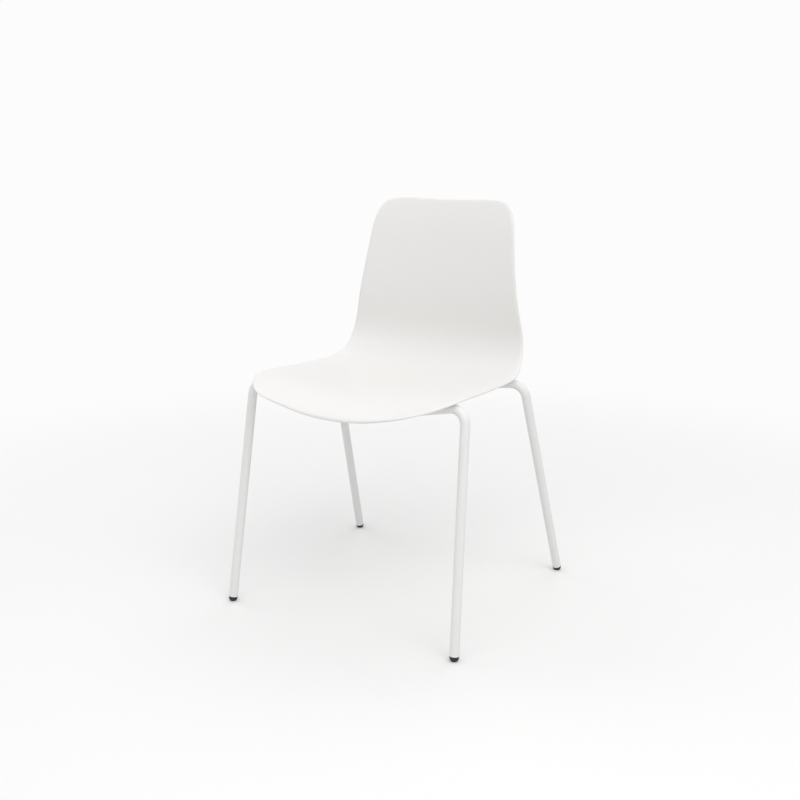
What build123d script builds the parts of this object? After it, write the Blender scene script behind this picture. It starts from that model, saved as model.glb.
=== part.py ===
from build123d import *
import os
from math import cos, radians, sin, sqrt, tan

# Stacking chair: a one-piece polypropylene seat and back on a bent steel tube frame.
# Millimetres. X runs across the chair, the sitter faces -Y, Z is up, and the floor is Z = 0.
# The origin is on the floor, at the middle of the rectangle that the four feet cover.

# ------------------------------------------------------------------ driving dimensions
FEET_HALF_DEPTH = 244.0         # foot centre, in front of and behind the origin
TUBE_RADIUS = 9.0               # 18 mm round steel tube
TUBE_WALL = 1.8
LEG_BEND_RADIUS = 28.0          # on the tube's centre line

WALL = 4.5                      # thickness of the moulded shell
RIM_ROUND = 2.0                 # rounding of both edges of the shell's rim
LIFT_WIDTH = 200.0              # distance from the middle at which a station's lift is given
SURFACE_HALF_WIDTH = 246.0      # the untrimmed surface reaches past the rim on both sides
SURFACE_OVERHANG = 0.03         # and past the front edge, as a share of the profile's length
SURFACE_COLUMNS = 24
SURFACE_ROWS = 70
PROFILE_STEP = 0.002            # share of the profile that sets its direction at the front edge
RIM_POINTS = 48                 # points of each half of the rim's outline
TRIM_REACH = 700.0              # the cutter that trims the rim reaches this far each way
RIM_EDGE_LENGTH = 200.0         # every rim edge is longer than this, and no other edge is

# Each station of the shell's middle profile: (y, z, lift_y, lift_z). The lift is how far the
# surface has moved at LIFT_WIDTH from the middle: up beside the seat, forward beside the back.
SHELL_STATIONS = [
    (-252.5, 418.0, 7.0, 46.5),     # front edge
    (-246.0, 428.5, 5.0, 25.0),     # waterfall
    (-191.0, 454.0, 3.0, 15.0),
    (-85.0, 442.5, 0.0, 17.0),      # seat
    (16.0, 434.0, -5.0, 22.0),
    (98.5, 428.5, -12.0, 24.5),
    (146.0, 453.0, -20.5, 20.0),    # bend from seat to back
    (176.5, 508.0, -27.0, 12.5),
    (168.5, 570.0, -30.0, 6.0),     # lumbar support
    (168.5, 629.5, -29.5, 1.5),
    (176.5, 704.5, -27.5, -0.5),
    (186.0, 763.0, -25.0, -1.5),
    (203.0, 813.5, -23.0, -2.5),    # just past the top edge
]

# Right half of the rim, as seen square-on to the bend: (x, height along the 45 degree view).
RIM_CONTROLS = [
    (0.0, 117.5), (63.0, 117.5), (124.0, 133.5), (184.0, 143.5),    # front edge and its corner
    (228.0, 199.0), (231.0, 240.0), (223.0, 320.0), (220.0, 374.0),  # side of the seat
    (208.0, 422.0), (204.0, 467.0), (188.0, 514.0), (172.0, 595.0),  # hip and side of the back
    (165.0, 652.0), (154.0, 678.0), (131.0, 703.0), (53.0, 703.0), (0.0, 703.0),  # top corner
]

# Leg frames, each in its own leaning plane. Half widths and heights of the tube's centre line.
FRONT_LEGS = {
    "foot_y": -FEET_HALF_DEPTH,
    "lean": 8.8,                # degrees, positive when the top leans back towards +Y
    "foot_half_width": 255.5,
    "corners": [(236.2, 456.6), (135.0, 436.6), (93.0, 421.5)],
    "radii": [LEG_BEND_RADIUS, 120.0, 60.0],
}
REAR_LEGS = {
    "foot_y": FEET_HALF_DEPTH,
    "lean": -18.0,
    "foot_half_width": 257.0,
    "corners": [(226.6, 444.8), (150.0, 433.3), (95.0, 408.0)],
    "radii": [LEG_BEND_RADIUS, 80.0, 60.0],
}
TUBE_END_HEIGHT = 9.0           # the tube stops here, and the glide carries on to the floor

RAIL_X = 70.0                   # mounting rails: flat steel bars across the two cross tubes
RAIL_WIDTH = 30.0
RAIL_THICKNESS = 5.0
RAIL_HOLE_RADIUS = 3.3
FRONT_SCREW_Y = -139.0
REAR_SCREW_Y = 71.0

BOSS_RADIUS = 9.0               # moulded screw bosses under the seat
BOSS_RIB_REACH = 20.0
BOSS_RIB_THICKNESS = 2.6
BOSS_RIB_SHARE = 0.6            # how much of the boss's height its ribs take, from the top
BOSS_ROOF = 2.5                 # plastic left above the screw's relief
INSERT_RADIUS = 4.0             # brass thread inserts, M6
INSERT_BORE_RADIUS = 3.05
INSERT_LENGTH = 10.0
INSERT_GROOVE_WIDTH = 1.2
INSERT_GROOVE_DEPTH = 0.5
SCREW_RADIUS = 3.0              # M6 button head screws
SCREW_LENGTH = 16.0
SCREW_HEAD_RADIUS = 5.25
SCREW_HEAD_HEIGHT = 3.3
SCREW_SOCKET_FLATS = 4.0
SCREW_HEAD_SHARE = 0.6          # of the head's height, for its rounding and its socket's depth
WASHER_RADIUS = 7.0
WASHER_THICKNESS = 1.6

GLIDE_COLLAR_RADIUS = 8.8
GLIDE_COLLAR_HEIGHT = 2.4
GLIDE_STEM_LENGTH = 22.0
GLIDE_LEAD_LENGTH = 3.0         # taper at the stem's inner end
GLIDE_LEAD_DEPTH = 1.5
GLIDE_FIT_GAP = 0.05
GLIDE_WAIST = (2.6, 1.2)        # foot's flank: inset from the collar, height over the floor
GLIDE_SOLE_INSET = 6.0          # inset from the collar at the foot's sole
GLIDE_SPARE = 3.0               # the foot is made this much too long, then cut at the floor
FLOOR_CUTTER = (2000.0, 200.0)  # width and height of the block that keeps what is above it

PAD_X = 30.0                    # stacking pads: clips around the lower side of the cross tubes
PAD_LENGTH = 26.0
PAD_THICKNESS = 3.0
PAD_FIT_GAP = 0.05
PAD_MOUTH_ANGLE = 120.0         # degrees that the clip leaves open at the top

VIEW_UP = Vector(0, 1, 1) / sqrt(2)     # the two directions of the rim's 45 degree view
VIEW_OUT = Vector(0, -1, 1) / sqrt(2)


# ------------------------------------------------------------------ smooth curves
def basis(index, degree, knots, t):
    """Value at t of one B-spline basis function."""
    if degree == 0:
        return 1.0 if knots[index] <= t < knots[index + 1] else 0.0
    value = 0.0
    rise = knots[index + degree] - knots[index]
    fall = knots[index + degree + 1] - knots[index + 1]
    if rise > 0:
        value += (t - knots[index]) / rise * basis(index, degree - 1, knots, t)
    if fall > 0:
        value += (knots[index + degree + 1] - t) / fall * basis(index + 1, degree - 1, knots, t)
    return value


def on_curve(controls, fraction):
    """Point at 0 to 1 along the clamped cubic B-spline with these control points."""
    spans = len(controls) - 3
    knots = [0] * 3 + list(range(spans + 1)) + [spans] * 3
    t = min(fraction * spans, spans - 1e-9)
    weights = [basis(i, 3, knots, t) for i in range(len(controls))]
    size = len(controls[0])
    return [sum(w * c[k] for w, c in zip(weights, controls)) for k in range(size)]


# ------------------------------------------------------------------ seat shell
def shell_point(x, fraction):
    """Point on the shell's upper surface, where fraction runs from the front edge to the top."""
    inside = max(fraction, 0.0)
    y, z, lift_y, lift_z = on_curve(SHELL_STATIONS, inside)
    if fraction < 0:
        ahead = on_curve(SHELL_STATIONS, PROFILE_STEP)
        back = fraction / PROFILE_STEP
        y, z, lift_y, lift_z = [
            here + (there - here) * back for here, there in zip((y, z, lift_y, lift_z), ahead)
        ]
    share = (x / LIFT_WIDTH) ** 2
    return Vector(x, y + lift_y * share, z + lift_z * share)


def shell_height(x, y):
    """Height of the shell's upper surface over a point of the seat."""
    low, high = 0.0, 0.5
    for _ in range(40):
        middle = (low + high) / 2
        if shell_point(x, middle).Y < y:
            low = middle
        else:
            high = middle
    return shell_point(x, low).Z


def shell_surface():
    """The shell's upper surface, larger than the rim all round."""
    steps = [2 * column / SURFACE_COLUMNS - 1 for column in range(SURFACE_COLUMNS + 1)]
    grid = []
    for row in range(SURFACE_ROWS + 1):
        fraction = -SURFACE_OVERHANG + (1 + SURFACE_OVERHANG) * row / SURFACE_ROWS
        grid.append([shell_point(SURFACE_HALF_WIDTH * step, fraction) for step in steps])
    return Face.make_surface_from_array_of_points(grid, tol=0.01, min_deg=3, max_deg=5)


def rim_outline():
    """The rim's closed outline in the 45 degree view."""
    right = [on_curve(RIM_CONTROLS, i / RIM_POINTS) for i in range(RIM_POINTS + 1)]
    left = [(-x, v) for x, v in reversed(right[1:-1])]
    points = [VIEW_UP * v + Vector(x, 0, 0) for x, v in right + left]
    return Wire([Edge.make_spline(points, periodic=True)])


def boss_places():
    """The four screw axes: where each meets the rail's middle plane, as (name, point)."""
    places = []
    for end, y in (("front", FRONT_SCREW_Y), ("rear", REAR_SCREW_Y)):
        for side, sign in (("left", -1), ("right", 1)):
            places.append((f"{end}_{side}", Vector(sign * RAIL_X, y, rail_height(y))))
    return places


def boss(place):
    """One moulded boss with its four ribs, from the rail up into the shell's wall."""
    bottom = RAIL_THICKNESS / 2
    top = shell_height(place.X, place.Y) - WALL / 2 - place.Z
    height = top - bottom
    screw_plane = Plane(origin=place, x_dir=(1, 0, 0), z_dir=rail_normal())
    base = screw_plane.offset(bottom)
    body = base * Pos(0, 0, height / 2) * Cylinder(BOSS_RADIUS, height)
    rib_height = height * BOSS_RIB_SHARE
    rib_middle = height - rib_height / 2
    for turn in (0, 90):
        rib = Rot(0, 0, turn) * Box(2 * BOSS_RIB_REACH, BOSS_RIB_THICKNESS, rib_height)
        body += base * Pos(0, 0, rib_middle) * rib
    pocket = base * Pos(0, 0, INSERT_LENGTH / 2) * Cylinder(INSERT_RADIUS, INSERT_LENGTH)
    relief_depth = min(height - BOSS_ROOF, SCREW_LENGTH)
    relief = base * Pos(0, 0, relief_depth / 2) * Cylinder(INSERT_BORE_RADIUS, relief_depth)
    return body - pocket - relief


def seat_shell():
    """Seat and back in one moulding, with a rounded rim and four screw bosses."""
    sheet = Solid.thicken(shell_surface(), WALL, normal_override=Vector(0, 0.5, -1))
    cutter = extrude(Face(rim_outline()), amount=TRIM_REACH, dir=VIEW_OUT, both=True)
    trimmed = sheet & cutter
    shell = trimmed.solids().sort_by(SortBy.VOLUME)[-1]
    rim_edges = ShapeList([edge for edge in shell.edges() if edge.length > RIM_EDGE_LENGTH])
    shell = shell.fillet(RIM_ROUND, rim_edges)
    for _, place in boss_places():
        shell += boss(place)
    return shell


# ------------------------------------------------------------------ steel frame
def leg_plane(legs):
    """The leaning plane that one bent tube lies in, with its origin between the two feet."""
    lean = radians(legs["lean"])
    return Plane(origin=(0, legs["foot_y"], 0), x_dir=(1, 0, 0), z_dir=(0, -cos(lean), sin(lean)))


def leg_path(legs):
    """Centre line of one bent tube, from the left tube end over the cross tube to the right."""
    stretch = 1 / cos(radians(legs["lean"]))
    foot = legs["foot_half_width"]
    first_x, first_z = legs["corners"][0]
    end_x = foot + (first_x - foot) * TUBE_END_HEIGHT / first_z
    right = [(end_x, TUBE_END_HEIGHT)] + legs["corners"]
    right = [(x, z * stretch) for x, z in right]
    left = [(-x, z) for x, z in right]
    radii = legs["radii"] + legs["radii"][::-1]
    return leg_plane(legs) * FilletPolyline(*left, *reversed(right), radius=radii)


def swept_rod(path, radius):
    """A round rod of the given radius along the path."""
    start = Plane(origin=path @ 0, z_dir=path % 0)
    return sweep(start * Circle(radius), path=path)


def leg_frame(legs):
    """One pair of legs: a hollow tube bent into an upside-down U with a dipped cross tube."""
    path = leg_path(legs)
    return swept_rod(path, TUBE_RADIUS) - swept_rod(path, TUBE_RADIUS - TUBE_WALL)


def cross_tube_middle(legs):
    """Point at the middle of the cross tube's centre line."""
    height = legs["corners"][-1][1]
    return Vector(0, legs["foot_y"] + height * tan(radians(legs["lean"])), height)


def rail_direction():
    """Direction of the rails, from the front cross tube to the rear one."""
    return (cross_tube_middle(REAR_LEGS) - cross_tube_middle(FRONT_LEGS)).normalized()


def rail_normal():
    """Upward normal of the rails' flat faces, which is also the screws' direction."""
    along = rail_direction()
    return Vector(0, -along.Z, along.Y)


def rail_height(y):
    """Height of the rails' middle plane at a distance y."""
    front = cross_tube_middle(FRONT_LEGS)
    along = rail_direction()
    return front.Z + (y - front.Y) * along.Z / along.Y


def seat_rail(sign):
    """A flat bar between the cross tubes, its ends cut to the tubes, drilled for two screws."""
    front, rear = cross_tube_middle(FRONT_LEGS), cross_tube_middle(REAR_LEGS)
    middle = (front + rear) / 2 + Vector(sign * RAIL_X, 0, 0)
    lie = Plane(origin=middle, x_dir=rail_direction(), z_dir=rail_normal())
    rail = lie * Box((rear - front).length, RAIL_WIDTH, RAIL_THICKNESS)
    for legs in (FRONT_LEGS, REAR_LEGS):
        rail -= swept_rod(leg_path(legs), TUBE_RADIUS)
    for _, place in boss_places():
        hole_plane = Plane(origin=place, z_dir=rail_normal())
        rail -= hole_plane * Cylinder(RAIL_HOLE_RADIUS, 4 * RAIL_THICKNESS)
    return rail.solids().sort_by(SortBy.VOLUME)[-1]


# ------------------------------------------------------------------ fasteners
def on_screw_axes(make):
    """Copies of one piece on the four screw axes, with Z along each axis."""
    pieces = []
    for _, place in boss_places():
        pieces.append(Plane(origin=place, x_dir=(1, 0, 0), z_dir=rail_normal()) * make())
    return Compound(children=pieces)


def thread_insert():
    """Brass insert in the bottom of a boss, with a knurl groove round its middle."""
    length = INSERT_LENGTH
    base = Pos(0, 0, RAIL_THICKNESS / 2 + length / 2)
    body = Cylinder(INSERT_RADIUS, length) - Cylinder(INSERT_BORE_RADIUS, length)
    core = Cylinder(INSERT_RADIUS - INSERT_GROOVE_DEPTH, INSERT_GROOVE_WIDTH)
    groove = Cylinder(INSERT_RADIUS, INSERT_GROOVE_WIDTH) - core
    return base * (body - groove)


def screw():
    """Button head screw, put in from below through the washer and the rail."""
    seat = -RAIL_THICKNESS / 2 - WASHER_THICKNESS
    depth = SCREW_HEAD_HEIGHT * SCREW_HEAD_SHARE
    shank = Pos(0, 0, seat + SCREW_LENGTH / 2) * Cylinder(SCREW_RADIUS, SCREW_LENGTH)
    head = Pos(0, 0, seat - SCREW_HEAD_HEIGHT / 2) * Cylinder(SCREW_HEAD_RADIUS, SCREW_HEAD_HEIGHT)
    head = fillet(head.edges().sort_by(Axis.Z)[0], depth)
    socket = extrude(RegularPolygon(SCREW_SOCKET_FLATS / 2, 6, major_radius=False), depth)
    return shank + head - Pos(0, 0, seat - SCREW_HEAD_HEIGHT) * socket


def washer():
    """Flat washer between the screw's head and the rail."""
    ring = Cylinder(WASHER_RADIUS, WASHER_THICKNESS) - Cylinder(RAIL_HOLE_RADIUS, WASHER_THICKNESS)
    return Pos(0, 0, -(RAIL_THICKNESS + WASHER_THICKNESS) / 2) * ring


# ------------------------------------------------------------------ plastic fittings
def glide(legs, sign):
    """Foot glide: a ribbed stem inside the tube, a collar on its end and a rounded foot."""
    path = leg_path(legs)
    end, inward = (path @ 0, path % 0) if sign < 0 else (path @ 1, path % 1 * -1)
    sole = -end.Z / inward.Z
    collar, stem = GLIDE_COLLAR_RADIUS, TUBE_RADIUS - TUBE_WALL - GLIDE_FIT_GAP
    waist_inset, waist_height = GLIDE_WAIST
    lead = (stem, GLIDE_STEM_LENGTH - GLIDE_LEAD_LENGTH)
    top = (stem - GLIDE_LEAD_DEPTH, GLIDE_STEM_LENGTH)
    flank = (collar, -GLIDE_COLLAR_HEIGHT)
    waist = (collar - waist_inset, sole + waist_height)
    toe = (collar - GLIDE_SOLE_INSET, sole - waist_height)
    with BuildPart() as made:
        with BuildSketch(Plane.XZ):
            with BuildLine():
                Polyline((0, sole - GLIDE_SPARE), (0, GLIDE_STEM_LENGTH), top)
                Polyline(top, lead, (stem, 0), (collar, 0), flank)
                Spline(flank, waist, toe)
                Line(toe, (0, sole - GLIDE_SPARE))
            make_face()
        revolve(axis=Axis.Z)
    body = Plane(origin=end, z_dir=inward) * made.part
    width, height = FLOOR_CUTTER
    return body & Pos(0, 0, height / 2) * Box(width, width, height)


def stacking_pad(legs, sign):
    """Soft clip round the underside of a cross tube, which lands on the chair below."""
    inner, outer = TUBE_RADIUS + PAD_FIT_GAP, TUBE_RADIUS + PAD_FIT_GAP + PAD_THICKNESS
    ring = Cylinder(outer, PAD_LENGTH) - Cylinder(inner, PAD_LENGTH)
    mouth_half = radians(PAD_MOUTH_ANGLE / 2)
    far = 3 * outer
    wide, high = far * sin(mouth_half), far * cos(mouth_half)
    outline = Polyline((0, 0), (wide, high), (0, 2 * far), (-wide, high), close=True)
    clip = ring - extrude(make_face(outline), PAD_LENGTH, both=True)
    centre = cross_tube_middle(legs) + Vector(sign * PAD_X, 0, 0)
    return Plane(origin=centre, x_dir=(0, 1, 0), z_dir=(1, 0, 0)) * clip


# ------------------------------------------------------------------ nodes
def main():
    """Build every node and write it to parts/."""
    nodes = {
        "seat_shell": seat_shell(),
        "front_leg_frame": leg_frame(FRONT_LEGS),
        "rear_leg_frame": leg_frame(REAR_LEGS),
        "thread_inserts": on_screw_axes(thread_insert),
        "seat_screws": on_screw_axes(screw),
        "seat_washers": on_screw_axes(washer),
    }
    for side, sign in (("left", -1), ("right", 1)):
        nodes[f"seat_rail_{side}"] = seat_rail(sign)
        for end, legs in (("front", FRONT_LEGS), ("rear", REAR_LEGS)):
            nodes[f"glide_{end}_{side}"] = glide(legs, sign)
            nodes[f"stacking_pad_{end}_{side}"] = stacking_pad(legs, sign)
    os.makedirs("parts", exist_ok=True)
    for name, shape in nodes.items():
        export_step(shape, f"parts/{name}.step")


main()
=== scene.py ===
"""The looks of a white stacking chair: moulded shell, bent tube frame and small fittings.

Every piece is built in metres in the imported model's own frame: X runs across the chair, the
sitter faces -Y, Z is up and the floor is Z = 0.
"""

from __future__ import annotations

import logging
import math
from abc import ABC, abstractmethod
from dataclasses import dataclass, field
from enum import Enum
from typing import Any, Callable, Iterator, Sequence

import bmesh
import bpy
import numpy as np
from mathutils import Matrix, Vector
from mathutils.kdtree import KDTree

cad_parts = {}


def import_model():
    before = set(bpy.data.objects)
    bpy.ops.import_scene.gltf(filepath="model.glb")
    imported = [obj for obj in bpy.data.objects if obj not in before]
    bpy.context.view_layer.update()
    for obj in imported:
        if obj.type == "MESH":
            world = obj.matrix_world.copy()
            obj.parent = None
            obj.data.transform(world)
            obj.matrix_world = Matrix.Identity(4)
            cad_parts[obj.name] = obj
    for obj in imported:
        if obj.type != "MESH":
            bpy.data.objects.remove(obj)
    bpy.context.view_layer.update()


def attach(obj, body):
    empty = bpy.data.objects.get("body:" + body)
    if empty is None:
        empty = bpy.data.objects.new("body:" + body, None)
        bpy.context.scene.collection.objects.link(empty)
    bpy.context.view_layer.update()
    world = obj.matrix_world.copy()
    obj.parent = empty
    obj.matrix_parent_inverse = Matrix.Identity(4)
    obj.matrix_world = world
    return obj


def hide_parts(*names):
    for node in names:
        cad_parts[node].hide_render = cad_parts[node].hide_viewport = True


LOG = logging.getLogger("stacking_chair")
BODY = "root"
MM = 0.001
WELD_DISTANCE = 1e-6
SHARP_ANGLE = math.radians(38)
Points = np.ndarray
Colour = tuple[float, float, float]


class Slot(Enum):
    """The record's material slots."""

    SHELL = "shell_plastic"
    PAINT = "frame_paint"
    GLIDE = "glide_plastic"
    PAD = "pad_rubber"
    STEEL = "fastener_steel"
    BRASS = "insert_brass"


class End(Enum):
    """The two ends of the chair, with the sign of their place along Y."""

    FRONT = -1
    REAR = 1


class Side(Enum):
    """The two sides of the chair as seen from the front, with the sign of their place along X."""

    LEFT = -1
    RIGHT = 1


# ---------------------------------------------------------------------- shader nodes
class Channel:
    """A shader value: an output socket whose arithmetic adds Math nodes."""

    def __init__(self, shading: "Shading", socket: bpy.types.NodeSocket) -> None:
        """Wrap an output socket of one material's tree."""
        self.shading = shading
        self.socket = socket

    def _math(
        self, operation: str, first: "Channel | float", second: "Channel | float"
    ) -> "Channel":
        """Add one Math node.

        Args:
            operation: the node's operation.
            first: value or channel of its first socket.
            second: value or channel of its second socket.

        Returns:
            The node's result.
        """
        return self.shading.node("ShaderNodeMath", {"operation": operation}, {0: first, 1: second})

    def __add__(self, other: "Channel | float") -> "Channel":
        """Return self + other."""
        return self._math("ADD", self, other)

    def __radd__(self, other: float) -> "Channel":
        """Return other + self."""
        return self._math("ADD", other, self)

    def __sub__(self, other: "Channel | float") -> "Channel":
        """Return self - other."""
        return self._math("SUBTRACT", self, other)

    def __rsub__(self, other: float) -> "Channel":
        """Return other - self."""
        return self._math("SUBTRACT", other, self)

    def __mul__(self, other: "Channel | float") -> "Channel":
        """Return self * other."""
        return self._math("MULTIPLY", self, other)

    def __rmul__(self, other: float) -> "Channel":
        """Return other * self."""
        return self._math("MULTIPLY", other, self)


class Shading:
    """One material's node tree around a single Principled shader."""

    def __init__(self, name: str) -> None:
        """Make an empty material with its shader joined to its output."""
        self.material = bpy.data.materials.new(name)
        self.material.use_nodes = True
        self.tree = self.material.node_tree
        self.tree.nodes.clear()
        self.shader = self.tree.nodes.new("ShaderNodeBsdfPrincipled")
        output = self.tree.nodes.new("ShaderNodeOutputMaterial")
        self.tree.links.new(self.shader.outputs[0], output.inputs["Surface"])

    def node(
        self,
        kind: str,
        settings: dict[str, Any] | None = None,
        sockets: dict[str | int, Any] | None = None,
        output: str | int = 0,
    ) -> Channel:
        """Add any node.

        Args:
            kind: the node's type.
            settings: its properties, set before its sockets; "stops" fills a colour ramp.
            sockets: a value or a channel for each input, by name or number.
            output: the output to return.

        Returns:
            The chosen output.
        """
        made = self.tree.nodes.new(kind)
        for name, value in (settings or {}).items():
            if name == "stops":
                self._fill_ramp(made.color_ramp, value)
            else:
                setattr(made, name, value)
        for name, value in (sockets or {}).items():
            self._plug(made.inputs[name], value)
        return Channel(self, made.outputs[output])

    @staticmethod
    def _fill_ramp(ramp: bpy.types.ColorRamp, stops: Sequence[tuple[float, Colour]]) -> None:
        """Give a ramp its stops, each a place and a colour."""
        while len(ramp.elements) < len(stops):
            ramp.elements.new(1.0)
        for element, (place, colour) in zip(ramp.elements, stops):
            element.position = place
            element.color = (*colour, 1.0)

    def _plug(self, target: bpy.types.NodeSocket, value: Any) -> None:
        """Link a channel to a socket, or set the socket's value."""
        if isinstance(value, Channel):
            self.tree.links.new(value.socket, target)
        elif isinstance(value, tuple) and target.type == "RGBA":
            target.default_value = (*value, 1.0)
        else:
            target.default_value = value

    def feed(self, **sockets: Any) -> None:
        """Set the surface shader's sockets, named with underscores for spaces."""
        for name, value in sockets.items():
            self._plug(self.shader.inputs[name.replace("_", " ")], value)

    def place(self, stretch: Colour = (1.0, 1.0, 1.0)) -> Channel:
        """Return the point on the piece in metres, scaled along each axis."""
        point = self.node("ShaderNodeTexCoord", output="Object")
        if stretch == (1.0, 1.0, 1.0):
            return point
        return self.node("ShaderNodeVectorMath", {"operation": "MULTIPLY"}, {0: point, 1: stretch})

    def noise(
        self, cells_per_metre: float, detail: float = 2.0, stretch: Colour = (1.0, 1.0, 1.0)
    ) -> Channel:
        """Add a cloudy value.

        Args:
            cells_per_metre: how fine it is.
            detail: octaves of finer noise on top.
            stretch: scale along each axis, before the noise.

        Returns:
            The value, about 0.5 on average.
        """
        sockets = {"Vector": self.place(stretch), "Scale": cells_per_metre, "Detail": detail}
        return self.node("ShaderNodeTexNoise", None, sockets)

    def cells(self, cells_per_metre: float) -> Channel:
        """Return the distance to the nearest of many scattered points, in cells."""
        sockets = {"Vector": self.place(), "Scale": cells_per_metre}
        return self.node("ShaderNodeTexVoronoi", {"feature": "SMOOTH_F1"}, sockets)

    def attribute(self, name: str) -> Channel:
        """Return one of the mesh's own values."""
        return self.node("ShaderNodeAttribute", {"attribute_name": name}, output="Fac")

    def height(self) -> Channel:
        """Return the height over the floor in metres."""
        return self.node("ShaderNodeSeparateXYZ", None, {0: self.place()}, "Z")

    def between(self, value: Channel, low: float, high: float) -> Channel:
        """Ease a value from 0 at low to 1 at high.

        Args:
            value: what is mapped.
            low: gives 0.
            high: gives 1.

        Returns:
            The share, kept between 0 and 1.
        """
        settings = {"interpolation_type": "SMOOTHSTEP"}
        sockets = {"Value": value, "From Min": low, "From Max": high}
        return self.node("ShaderNodeMapRange", settings, sockets)

    def tint(self, share: Channel, base: Any, other: Any) -> Channel:
        """Mix two colours.

        Args:
            share: how much of the other colour shows.
            base: colour or channel at 0.
            other: colour or channel at 1.

        Returns:
            The mixed colour.
        """
        return self.node("ShaderNodeMix", {"data_type": "RGBA"}, {0: share, 6: base, 7: other}, 2)

    def bump(self, height: Channel, depth: float, under: Channel | None = None) -> Channel:
        """Turn a height into relief.

        Args:
            height: the relief, 0 to 1.
            depth: metres that 1 stands for.
            under: relief that this one lies on.

        Returns:
            The bent normal.
        """
        sockets: dict[str | int, Any] = {"Height": height, "Distance": depth, "Strength": 1.0}
        if under is not None:
            sockets["Normal"] = under
        return self.node("ShaderNodeBump", None, sockets)


def darker(colour: Colour, share: float) -> Colour:
    """Return a colour multiplied by a share."""
    return tuple(channel * share for channel in colour)


# ---------------------------------------------------------------------- finishes
@dataclass(frozen=True)
class Finish(ABC):
    """A surface finish for one of the record's slots."""

    slot: Slot
    colour: Colour
    roughness: float

    @abstractmethod
    def dress(self, shading: Shading) -> None:
        """Feed the surface shader."""

    def material(self) -> bpy.types.Material:
        """Return the finish as a new material."""
        shading = Shading(f"{self.slot.value}_finish")
        self.dress(shading)
        return shading.material


@dataclass(frozen=True)
class MouldedPlastic(Finish):
    """White polypropylene with a fine spark-eroded grain, slightly rubbed along its rim."""

    cloud_per_metre: float = 5.0
    patch_per_metre: float = 38.0
    scratch_per_metre: float = 9.0
    ripple_per_metre: float = 24.0
    grain_per_metre: float = 1500.0
    grain_depth: float = 0.018 * MM
    ripple_depth: float = 0.08 * MM

    def dress(self, shading: Shading) -> None:
        """Feed the surface shader."""
        clouds = shading.noise(self.cloud_per_metre, 3.0)
        patches = shading.noise(self.patch_per_metre, 4.0)
        grain = shading.noise(self.grain_per_metre, 3.0)
        pits = shading.cells(self.grain_per_metre * 0.6)
        rubbed = shading.between(shading.attribute("rim"), 0.55, 1.0)
        lengthways = shading.noise(self.scratch_per_metre, 2.0, (90.0, 1.2, 1.2))
        crossways = shading.noise(self.scratch_per_metre, 2.0, (1.4, 80.0, 60.0))
        long_scratch = shading.between(lengthways, 0.70, 0.74)
        cross_scratch = shading.between(crossways, 0.71, 0.75)
        scuffed = (long_scratch + cross_scratch) * shading.between(shading.noise(11.0), 0.52, 0.66)
        colour = shading.tint(clouds, darker(self.colour, 0.992), self.colour)
        colour = shading.tint(0.5 * scuffed, colour, darker(self.colour, 0.955))
        colour = shading.tint(0.35 * rubbed, colour, darker(self.colour, 0.985))
        rough = self.roughness + 0.10 * (patches - 0.5) + 0.07 * (grain - 0.5)
        rough = rough - 0.07 * rubbed + 0.08 * scuffed
        ripple = shading.bump(shading.noise(self.ripple_per_metre, 1.0), self.ripple_depth)
        relief = shading.bump(grain * 0.6 + pits * 0.4, self.grain_depth, ripple)
        shading.feed(Base_Color=colour, Roughness=rough, Normal=relief, IOR=1.49)


@dataclass(frozen=True)
class PowderCoat(Finish):
    """White powder coat: a faint orange peel with a fine texture, and scuffs near the floor."""

    peel_per_metre: float = 420.0
    peel_depth: float = 0.05 * MM
    patch_per_metre: float = 26.0
    mark_per_metre: float = 170.0
    scuff_height: float = 0.11
    bare: Colour = (0.42, 0.42, 0.41)

    def dress(self, shading: Shading) -> None:
        """Feed the surface shader."""
        peel = shading.noise(self.peel_per_metre, 1.5)
        texture = shading.noise(self.peel_per_metre * 5, 2.0)
        patches = shading.noise(self.patch_per_metre, 3.0)
        low = 1.0 - shading.between(shading.height(), 0.0, self.scuff_height)
        streaks = shading.noise(self.mark_per_metre, 4.0, (1.0, 1.0, 0.35))
        marks = shading.between(streaks, 0.66, 0.72)
        scuffed = marks * low
        colour = shading.tint(patches, darker(self.colour, 0.985), self.colour)
        colour = shading.tint(0.45 * scuffed, colour, self.bare)
        rough = self.roughness + 0.08 * (patches - 0.5) + 0.06 * (texture - 0.5) + 0.15 * scuffed
        relief = shading.bump(texture, self.peel_depth * 0.25, shading.bump(peel, self.peel_depth))
        shading.feed(Base_Color=colour, Roughness=rough, Normal=relief, IOR=1.5)


@dataclass(frozen=True)
class GlideNylon(Finish):
    """Black moulded nylon, scuffed grey where it slides on the floor."""

    scuffed_colour: Colour = (0.10, 0.098, 0.095)
    scuff_height: float = 2.4 * MM
    grain_per_metre: float = 1900.0
    grain_depth: float = 0.02 * MM
    wear_per_metre: float = 900.0
    dust_per_metre: float = 260.0

    def dress(self, shading: Shading) -> None:
        """Feed the surface shader."""
        grain = shading.noise(self.grain_per_metre, 3.0)
        worn = 1.0 - shading.between(shading.height(), 0.0, self.scuff_height)
        rubbing = shading.noise(self.wear_per_metre, 3.0, (1.0, 0.15, 1.0))
        worn = worn * shading.between(rubbing, 0.35, 0.7)
        dust = shading.between(shading.noise(self.dust_per_metre, 4.0), 0.52, 0.8)
        colour = shading.tint(0.10 * dust, self.colour, self.scuffed_colour)
        colour = shading.tint(worn, colour, self.scuffed_colour)
        rough = self.roughness + 0.12 * (grain - 0.5) + 0.25 * worn
        relief = shading.bump(grain, self.grain_depth)
        shading.feed(Base_Color=colour, Roughness=rough, Normal=relief, IOR=1.53)


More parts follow.
